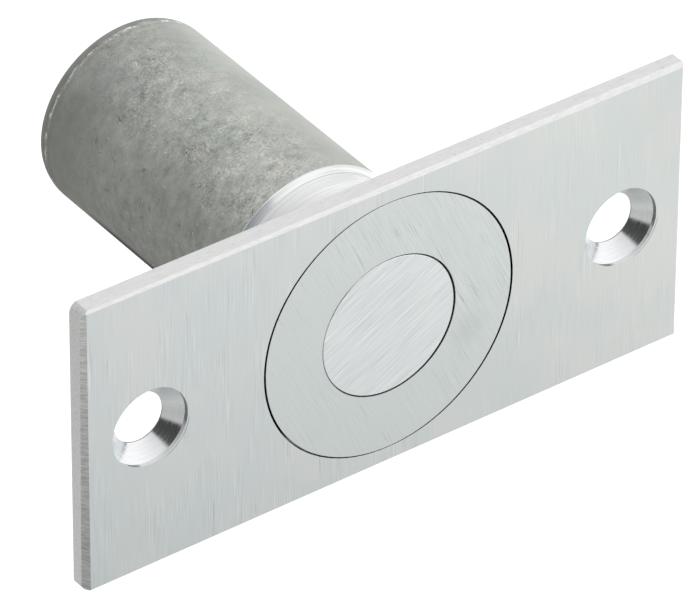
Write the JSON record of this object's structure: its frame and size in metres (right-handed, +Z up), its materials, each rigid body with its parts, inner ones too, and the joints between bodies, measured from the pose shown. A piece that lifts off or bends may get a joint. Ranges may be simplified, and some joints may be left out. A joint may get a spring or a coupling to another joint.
{
  "type": "dust-proof door strike plate",
  "caption": "Flat rectangular strike plate with countersunk screw holes and a flanged barrel let flush into it, holding a spring-loaded plunger that a bolt rod pushes in.",
  "frame": {"origin": "centre of the plate's back face, midway between the screw holes", "axes": "+X along the plate's long side, +Z up its short side, +Y backwards along the barrel"},
  "size_m": [0.0686, 0.0431, 0.0318],
  "materials": {
    "satin_plate": "satin, brushed along the short side",
    "die_cast_zinc": "dull die-cast zinc, turned bright at the neck and brushed on the flange",
    "satin_plunger": "satin, brushed across",
    "plain_steel": "bright zinc-plated steel",
    "spring_steel": "drawn wire"
  },
  "bodies": {
    "frame": {"strike_plate": "satin_plate", "housing": "die_cast_zinc", "end_plug": "plain_steel", "spring": "spring_steel"},
    "plunger": {"plunger": "satin_plunger"}
  },
  "joints": [
    {"name": "plunger_slide", "type": "slide", "parent": "frame", "child": "plunger", "axis": [0, 1, 0], "range_m": [0, 0.02], "stiffness_N_per_m": 875, "springref_m": -0.008, "deforming": ["spring"]}
  ]
}
